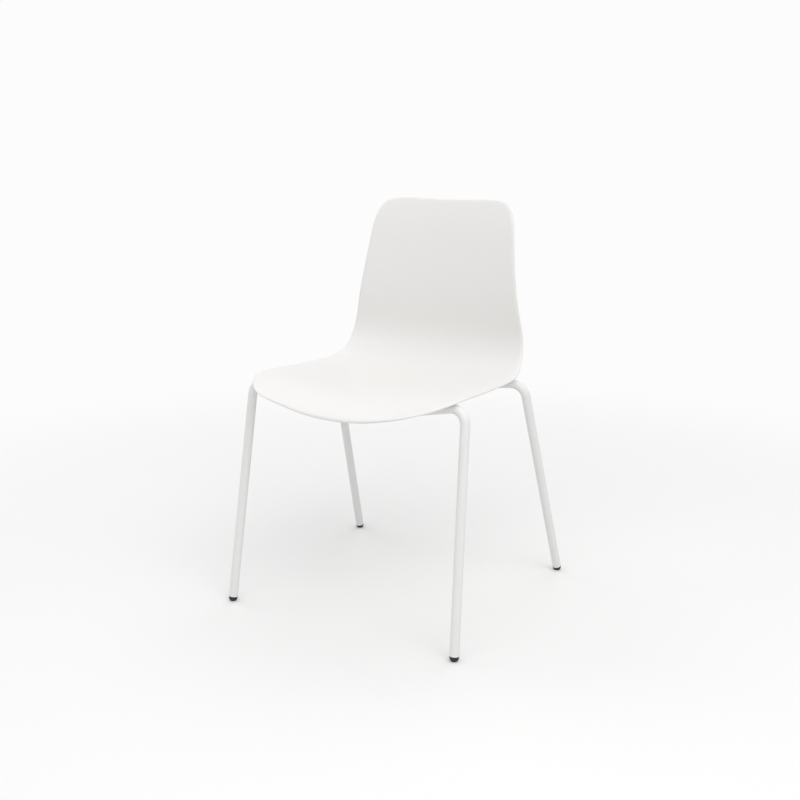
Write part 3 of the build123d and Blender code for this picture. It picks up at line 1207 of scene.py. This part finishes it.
# ---------------------------------------------------------------------- small fittings
@dataclass
class SeatFixings:
    """Screws, washers and thread inserts on the four screw axes."""

    workshop: Workshop
    shell: SeatShell
    screw_radius: float = 3.0 * MM
    screw_length: float = 16.0 * MM
    thread_pitch: float = 1.0 * MM
    thread_depth: float = 0.5 * MM
    head_radius: float = 5.25 * MM
    head_height: float = 3.3 * MM
    head_share: float = 0.6
    socket_flats: float = 4.0 * MM
    washer_radius: float = 7.0 * MM
    washer_thickness: float = 1.6 * MM
    insert_radius: float = 4.0 * MM
    insert_bore: float = 3.05 * MM
    insert_length: float = 10.0 * MM
    knurl_teeth: int = 32
    knurl_depth: float = 0.22 * MM
    round_points: int = 96

    @property
    def seat(self) -> float:
        """Height of the head's bearing face, from the rails' middle plane."""
        return -self.shell.frame.rail_thickness / 2 - self.washer_thickness

    def hexagon(self, apothem: float, height: float) -> Points:
        """Return a hexagonal loop with as many points as the turned loops."""
        angles = ring(self.round_points)
        sixth = math.radians(60)
        radii = apothem / np.cos(np.mod(angles, sixth) - sixth / 2)
        return np.stack([radii * np.cos(angles), radii * np.sin(angles),
                         np.full(self.round_points, height)], axis=1)

    def threaded(self, radii: Points, angles: Points, heights: Points) -> Points:
        """Cut a thread into the shank's radii."""
        turns = heights / self.thread_pitch - angles / (2 * math.pi)
        saw = np.abs(np.mod(turns, 1.0) * 2 - 1)
        groove = self.thread_depth * np.clip(1.25 * saw - 0.125, 0, 1)
        start = np.clip((heights - self.seat - 1.5 * MM) / self.thread_pitch, 0, 1)
        return radii - groove * start

    def screw(self) -> bpy.types.Mesh:
        """Build a button head screw with a hexagonal socket and a threaded shank."""
        seat, apothem = self.seat, self.socket_flats / 2
        low, depth = seat - self.head_height, self.head_height * self.head_share
        chamfer = 0.25 * MM
        loops = [
            self.hexagon(1e-9, low + depth + 0.7 * MM),
            self.hexagon(apothem * 0.97, low + depth),
            self.hexagon(apothem, low + depth * 0.97),
            self.hexagon(apothem, low + chamfer),
            self.hexagon(apothem + chamfer, low),
        ]
        dome = arc((self.head_radius - depth, low + depth), depth, -90, 0, 12)
        outline = [*dome.tolist(), (self.head_radius, seat - 0.15 * MM),
                   (self.head_radius - 0.15 * MM, seat), (self.screw_radius, seat)]
        tip = seat + self.screw_length
        shank = [(self.screw_radius, z) for z in np.linspace(seat, tip - 0.8 * MM, 150)]
        point = [(self.screw_radius - 0.8 * MM, tip), (0, tip)]
        skin = Skin()
        grids = [np.stack(loops), turned(outline, self.round_points),
                 turned(shank[1:], self.round_points, self.threaded),
                 turned(point, self.round_points)]
        skin.add_grid(np.concatenate(grids), wrap_columns=True)
        return skin.mesh("seat_screw")

    def washer(self) -> bpy.types.Mesh:
        """Build a stamped washer, rolled over on the side it was punched from."""
        low, high = self.seat, self.seat + self.washer_thickness
        inner, outer = self.shell.frame.hole_radius, self.washer_radius
        rolled, sharp = 0.45 * MM, 0.12 * MM
        profile = np.concatenate([
            arc((outer - rolled, low + rolled), rolled, -90, 0, 6),
            arc((outer - sharp, high - sharp), sharp, 0, 90, 3),
            arc((inner + sharp, high - sharp), sharp, 90, 180, 3),
            arc((inner + rolled, low + rolled), rolled, 180, 270, 6)])
        skin = Skin()
        skin.add_grid(turned(profile, self.round_points), wrap_rows=True, wrap_columns=True)
        return skin.mesh("seat_washer")

    def knurled(self, radii: Points, angles: Points, heights: Points) -> Points:
        """Press the two crossing knurls into the insert's radii."""
        base = self.shell.frame.rail_thickness / 2
        share = (heights - base) / self.insert_length
        lean = np.where(share < 0.5, 1, -1) * 0.9 * share * 2 * math.pi / 8
        teeth = 0.5 + 0.5 * np.cos(self.knurl_teeth * (angles + lean))
        middle = np.clip(np.minimum(share, 1 - share) / 0.08, 0, 1)
        outer = radii > self.insert_radius - 0.05 * MM
        return radii - np.where(outer, self.knurl_depth * teeth * middle, 0)

    def insert(self) -> bpy.types.Mesh:
        """Build a knurled insert with a groove round its middle."""
        low = self.shell.frame.rail_thickness / 2
        high, middle = low + self.insert_length, low + self.insert_length / 2
        outer, bore = self.insert_radius, self.insert_bore
        groove, depth, edge = 0.6 * MM, 0.5 * MM, 0.2 * MM
        rows = [(bore + edge, low), (outer - edge, low)]
        rows += [(outer, z) for z in np.linspace(low + edge, middle - groove, 14)]
        rows += [(outer - depth, middle - groove), (outer - depth, middle + groove)]
        rows += [(outer, z) for z in np.linspace(middle + groove, high - edge, 14)]
        rows += [(outer - edge, high), (bore + edge, high), (bore, high - edge), (bore, low + edge)]
        skin = Skin()
        grid = turned(rows, self.round_points * 2, self.knurled)
        skin.add_grid(grid, wrap_rows=True, wrap_columns=True)
        return skin.mesh("thread_insert")

    def build(self) -> None:
        """Make the screws, washers and inserts."""
        kinds = ((self.screw(), "screw", Slot.STEEL, "seat_screws"),
                 (self.washer(), "washer", Slot.STEEL, "seat_washers"),
                 (self.insert(), "insert", Slot.BRASS, "thread_inserts"))
        for mesh, kind, slot, node in kinds:
            for end, side, place in self.shell.boss_places():
                name = f"{kind}_{end.name.lower()}_{side.name.lower()}"
                self.workshop.piece(name, mesh, slot, [node], place)


@dataclass
class FootGlides:
    """Black glides pressed into the four tube ends."""

    workshop: Workshop
    frame: TubeFrame
    collar_radius: float = 8.8 * MM
    collar_height: float = 2.4 * MM
    stem_length: float = 22.0 * MM
    lead_length: float = 3.0 * MM
    lead_depth: float = 1.5 * MM
    fit_gap: float = 0.05 * MM
    waist: tuple[float, float] = (2.6 * MM, 1.2 * MM)
    sole_inset: float = 6.0 * MM
    spare: float = 3.0 * MM
    barb_depth: float = 0.6 * MM
    round_points: int = 80

    def profile(self, sole: float) -> list[tuple[float, float]]:
        """Draw the glide's profile.

        Args:
            sole: height of the floor along the glide's axis, from the tube's end.

        Returns:
            (radius, height) points from the middle of the sole to the top of the stem.
        """
        collar = self.collar_radius
        stem = self.frame.tube_radius - self.frame.tube_wall - self.fit_gap
        inset, lift = self.waist
        flank = np.array([(collar - self.sole_inset, sole - lift), (collar - inset, sole + lift),
                          (collar, -self.collar_height)])
        controls = np.array([flank[0], (flank[0] + 2 * flank[1]) / 3 + (0.6 * MM, -0.5 * MM),
                             flank[1] + (1.2 * MM, 0.6 * MM), flank[2] - (0, 1.6 * MM), flank[2]])
        foot = [(0, sole - self.spare), *cubic_spline(controls, 26).tolist()]
        edge = 0.35 * MM
        collar_top = [(collar, -edge), (collar - edge, 0), (stem, 0)]
        barbs = []
        for level in (5.0 * MM, 10.0 * MM, 15.0 * MM):
            barbs += [(stem - self.barb_depth, level - 2.6 * MM), (stem, level),
                      (stem, level + 0.5 * MM), (stem - self.barb_depth, level + 0.9 * MM)]
        top = self.stem_length
        lead = [(stem, top - self.lead_length), (stem - self.lead_depth, top), (0, top)]
        return foot + collar_top + barbs + lead

    def glide(self, legs: LegBend, side: Side) -> bpy.types.Mesh:
        """Build one glide, cut flat at the floor.

        Args:
            legs: the tube that it is in.
            side: which end of that tube.

        Returns:
            Its mesh.
        """
        end, inward = legs.foot(side)
        across = Vector((0, 1, 0)).cross(inward).normalized()
        place = upright(end, across, inward)
        skin = Skin()
        grid = turned(self.profile(-end.z / inward.z), self.round_points)
        skin.add_grid(transformed(grid, place), wrap_columns=True)
        mesh = skin.mesh("foot_glide")
        work = bmesh.new()
        work.from_mesh(mesh)
        everything = [*work.verts, *work.edges, *work.faces]
        cut = bmesh.ops.bisect_plane(
            work, geom=everything, plane_co=(0, 0, 0), plane_no=(0, 0, 1), clear_inner=True)
        rim = [item for item in cut["geom_cut"] if isinstance(item, bmesh.types.BMEdge)]
        bmesh.ops.holes_fill(work, edges=rim)
        bmesh.ops.recalc_face_normals(work, faces=work.faces)
        work.to_mesh(mesh)
        work.free()
        mesh.set_sharp_from_angle(angle=SHARP_ANGLE)
        return mesh

    def build(self) -> None:
        """Make the four glides."""
        for end in End:
            for side in Side:
                name = f"{end.name.lower()}_{side.name.lower()}"
                mesh = self.glide(self.frame.legs(end), side)
                self.workshop.piece(f"foot_glide_{name}", mesh, Slot.GLIDE, [f"glide_{name}"])


@dataclass
class StackingPads:
    """Soft clips round the underside of the cross tubes."""

    workshop: Workshop
    frame: TubeFrame
    pad_x: float = 30.0 * MM
    length: float = 26.0 * MM
    thickness: float = 3.0 * MM
    fit_gap: float = 0.05 * MM
    mouth_angle: float = 120.0
    edge: float = 0.7 * MM
    groove_depth: float = 0.45 * MM
    groove_xs: tuple[float, ...] = (-7.0 * MM, 0.0, 7.0 * MM)

    def section(self) -> Points:
        """Return the clip's section: (x, distance out from its inner face), with three grooves."""
        half, edge, thick = self.length / 2, self.edge, self.thickness
        outer = [arc((half - edge, thick - edge), edge, 0, 90, 6)]
        for x in self.groove_xs[::-1]:
            angles = np.linspace(0, math.pi, 9)
            dip = self.groove_depth * np.sin(angles)
            outer.append(np.stack([x + 0.9 * MM * np.cos(angles), thick - dip], axis=1))
        outer.append(arc((-half + edge, thick - edge), edge, 90, 180, 6))
        small = 0.3 * MM
        outer.append(arc((-half + small, small), small, 180, 270, 4))
        outer.append(arc((half - small, small), small, 270, 360, 4))
        return np.concatenate(outer)

    def pad(self, legs: LegBend, side: Side) -> Skin:
        """Build one clip with rounded lips at its mouth.

        Args:
            legs: the tube that it grips.
            side: which side of the chair.

        Returns:
            Its skin.
        """
        section = self.section()
        inner = self.frame.tube_radius + self.fit_gap
        centre = legs.cross_middle() + Vector((side.value * self.pad_x, 0, 0))
        half_span = math.radians(180 - self.mouth_angle / 2)
        lip = self.thickness / 2
        lip_turn = lip / (inner + lip)
        turns = [(-half_span + lip_turn * (1 - math.cos(a)), math.sin(a))
                 for a in np.radians([14, 30, 45, 60, 75, 90])]
        turns += [(angle, 1.0) for angle in
                  np.linspace(-half_span + lip_turn, half_span - lip_turn, 61)[1:-1]]
        turns += [(-angle, scale) for angle, scale in turns[5::-1]]
        loops = []
        for angle, scale in turns:
            x = section[:, 0] * (1 - 0.08 * (1 - scale))
            radius = inner + lip + (section[:, 1] - lip) * scale
            loops.append(np.stack([x, radius * math.sin(angle), -radius * math.cos(angle)], axis=1))
        skin = Skin()
        grid = np.stack(loops) + np.array(centre)
        skin.add_grid(grid, wrap_columns=True)
        skin.add_lid(grid[0])
        skin.add_lid(grid[-1])
        return skin

    def build(self) -> None:
        """Make the four pads."""
        for end in End:
            for side in Side:
                name = f"{end.name.lower()}_{side.name.lower()}"
                mesh = self.pad(self.frame.legs(end), side).mesh("stack_pad")
                self.workshop.piece(f"stack_pad_{name}", mesh, Slot.PAD, [f"stacking_pad_{name}"])


# ---------------------------------------------------------------------- studio
@dataclass(frozen=True)
class Panel:
    """A square soft light that faces the chair."""

    name: str
    bearing: float
    elevation: float
    size: float
    watts: float
    distance: float = 3.2
    aim: Colour = (0.0, 0.0, 0.4)

    def hang(self) -> None:
        """Add the panel at its bearing, in degrees from +X towards +Y."""
        light = bpy.data.lights.new(self.name, "AREA")
        light.shape, light.size, light.energy = "DISK", self.size, self.watts
        made = bpy.data.objects.new(self.name, light)
        bearing, elevation = math.radians(self.bearing), math.radians(self.elevation)
        away = Vector((math.cos(bearing) * math.cos(elevation),
                       math.sin(bearing) * math.cos(elevation), math.sin(elevation)))
        made.location = Vector(self.aim) + away * self.distance
        made.rotation_euler = away.to_track_quat("Z", "Y").to_euler()
        bpy.context.scene.collection.objects.link(made)


@dataclass
class Studio:
    """A pale floor, an even white surround, a broad soft light and the camera."""

    camera_place: Colour = (1.0470, -1.7861, 0.9177)
    camera_yaw: float = 30.41
    camera_dip: float = 13.96
    lens: float = 47.19
    sensor: float = 36.0
    floor_colour: Colour = (0.908, 0.908, 0.905)
    floor_bounce: float = 0.82
    surround: Colour = (0.975, 0.975, 0.975)
    floor_reach: float = 14.0
    fade_start: float = 0.6
    fade_end: float = 2.1
    surround_light: float = 0.66
    panels: tuple[Panel, ...] = (
        Panel("key_panel", -36.0, 50.0, 2.4, 26.0),
        Panel("right_panel", 0.0, 45.0, 2.4, 8.0),
        Panel("left_panel", 180.0, 45.0, 2.4, 14.0),
        Panel("rear_panel", 90.0, 60.0, 2.4, 13.0),
        Panel("front_panel", -90.0, 50.0, 2.4, 12.0),
    )

    def build(self) -> None:
        """Set up the studio."""
        self.colours()
        self.floor()
        self.lights()
        self.camera()

    def colours(self) -> None:
        """Show colours as they are, without a film curve."""
        bpy.context.scene.view_settings.view_transform = "Standard"

    def floor(self) -> None:
        """Lay a pale floor that fades into the surround and throws back little light."""
        shares = np.linspace(0, 1, 25)[:, None, None] ** 2
        angles = ring(96)[None, :, None]
        spokes = np.concatenate([np.cos(angles), np.sin(angles), 0 * angles], axis=2)
        skin = Skin()
        skin.add_grid(shares * self.floor_reach * spokes, wrap_columns=True)
        floor = bpy.data.objects.new("floor", skin.mesh("floor"))
        bpy.context.scene.collection.objects.link(floor)
        shading = Shading("floor_finish")
        patches = shading.noise(3.0, 2.0)
        colour = shading.tint(patches, self.floor_colour, darker(self.floor_colour, 0.996))
        shading.feed(Base_Color=colour, Roughness=0.8)
        shading.feed(Specular_IOR_Level=0.2)
        reach = shading.node("ShaderNodeVectorMath", {"operation": "LENGTH"},
                             {0: shading.place()}, "Value")
        share = shading.between(reach, self.fade_start, self.fade_end)
        glow = shading.node("ShaderNodeEmission", None, {"Color": self.surround})
        floor_shader = Channel(shading, shading.shader.outputs[0])
        seen = shading.node("ShaderNodeMixShader", None, {0: share, 1: floor_shader, 2: glow})
        dull = shading.node(
            "ShaderNodeBsdfDiffuse", None, {"Color": darker(self.floor_colour, self.floor_bounce)})
        direct = shading.node("ShaderNodeLightPath", output="Is Camera Ray")
        mixed = shading.node("ShaderNodeMixShader", None, {0: direct, 1: dull, 2: seen})
        output = next(n for n in shading.tree.nodes if n.type == "OUTPUT_MATERIAL")
        shading.tree.links.new(mixed.socket, output.inputs["Surface"])
        floor.data.materials.append(shading.material)

    def lights(self) -> None:
        """Light the chair from an even surround and a ring of broad soft panels."""
        world = bpy.data.worlds.new("surround")
        world.use_nodes = True
        nodes, links = world.node_tree.nodes, world.node_tree.links
        seen = nodes["Background"]
        seen.inputs["Color"].default_value = (*self.surround, 1.0)
        dim = nodes.new("ShaderNodeBackground")
        dim.inputs["Color"].default_value = (*self.surround, 1.0)
        dim.inputs["Strength"].default_value = self.surround_light
        path, mixed = nodes.new("ShaderNodeLightPath"), nodes.new("ShaderNodeMixShader")
        links.new(path.outputs["Is Camera Ray"], mixed.inputs[0])
        links.new(dim.outputs[0], mixed.inputs[1])
        links.new(seen.outputs[0], mixed.inputs[2])
        links.new(mixed.outputs[0], nodes["World Output"].inputs["Surface"])
        bpy.context.scene.world = world
        for panel in self.panels:
            panel.hang()

    def camera(self) -> None:
        """Stand the camera in front of the chair, to its right."""
        camera = bpy.data.objects.new("camera", bpy.data.cameras.new("camera"))
        camera.location = self.camera_place
        camera.rotation_euler = (
            math.radians(90 - self.camera_dip), 0, math.radians(self.camera_yaw))
        camera.data.lens = self.lens
        camera.data.sensor_width = self.sensor
        bpy.context.scene.collection.objects.link(camera)
        bpy.context.scene.camera = camera


# ---------------------------------------------------------------------- the chair
SCREW_YS = (-139.0 * MM, 71.0 * MM)
FRONT_LEGS = LegBend(
    foot_y=-244.0 * MM,
    lean=math.radians(8.8),
    foot_half_width=255.5 * MM,
    corners=((236.2 * MM, 456.6 * MM), (135.0 * MM, 436.6 * MM), (93.0 * MM, 421.5 * MM)),
    radii=(28.0 * MM, 120.0 * MM, 60.0 * MM),
)
REAR_LEGS = LegBend(
    foot_y=244.0 * MM,
    lean=math.radians(-18.0),
    foot_half_width=257.0 * MM,
    corners=((226.6 * MM, 444.8 * MM), (150.0 * MM, 433.3 * MM), (95.0 * MM, 408.0 * MM)),
    radii=(28.0 * MM, 80.0 * MM, 60.0 * MM),
)
SHELL_STATIONS = MM * np.array([
    (-252.5, 418.0, 7.0, 46.5),     # front edge
    (-246.0, 428.5, 5.0, 25.0),     # waterfall
    (-191.0, 454.0, 3.0, 15.0),
    (-85.0, 442.5, 0.0, 17.0),      # seat
    (16.0, 434.0, -5.0, 22.0),
    (98.5, 428.5, -12.0, 24.5),
    (146.0, 453.0, -20.5, 20.0),    # bend from seat to back
    (176.5, 508.0, -27.0, 12.5),
    (168.5, 570.0, -30.0, 6.0),     # lumbar support
    (168.5, 629.5, -29.5, 1.5),
    (176.5, 704.5, -27.5, -0.5),
    (186.0, 763.0, -25.0, -1.5),
    (203.0, 813.5, -23.0, -2.5),    # just past the top edge
])
RIM_CONTROLS = MM * np.array([
    (0.0, 117.5), (63.0, 117.5), (124.0, 133.5), (184.0, 143.5),    # front edge and its corner
    (228.0, 199.0), (231.0, 240.0), (223.0, 320.0), (220.0, 374.0),  # side of the seat
    (208.0, 422.0), (204.0, 467.0), (188.0, 514.0), (172.0, 595.0),  # hip and side of the back
    (165.0, 652.0), (154.0, 678.0), (131.0, 703.0), (53.0, 703.0), (0.0, 703.0),  # top corner
])


def main() -> None:
    """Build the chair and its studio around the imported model."""
    logging.basicConfig(level=logging.INFO, format="%(name)s: %(message)s")
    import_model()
    Studio().build()
    workshop = Workshop(Finishes().materials())
    frame = TubeFrame(workshop, FRONT_LEGS, REAR_LEGS)
    frame.build(SCREW_YS)
    shell = SeatShell(workshop, frame, SHELL_STATIONS, RIM_CONTROLS, SCREW_YS)
    shell.build()
    SeatFixings(workshop, shell).build()
    FootGlides(workshop, frame).build()
    StackingPads(workshop, frame).build()


if __name__ == "__main__":
    main()
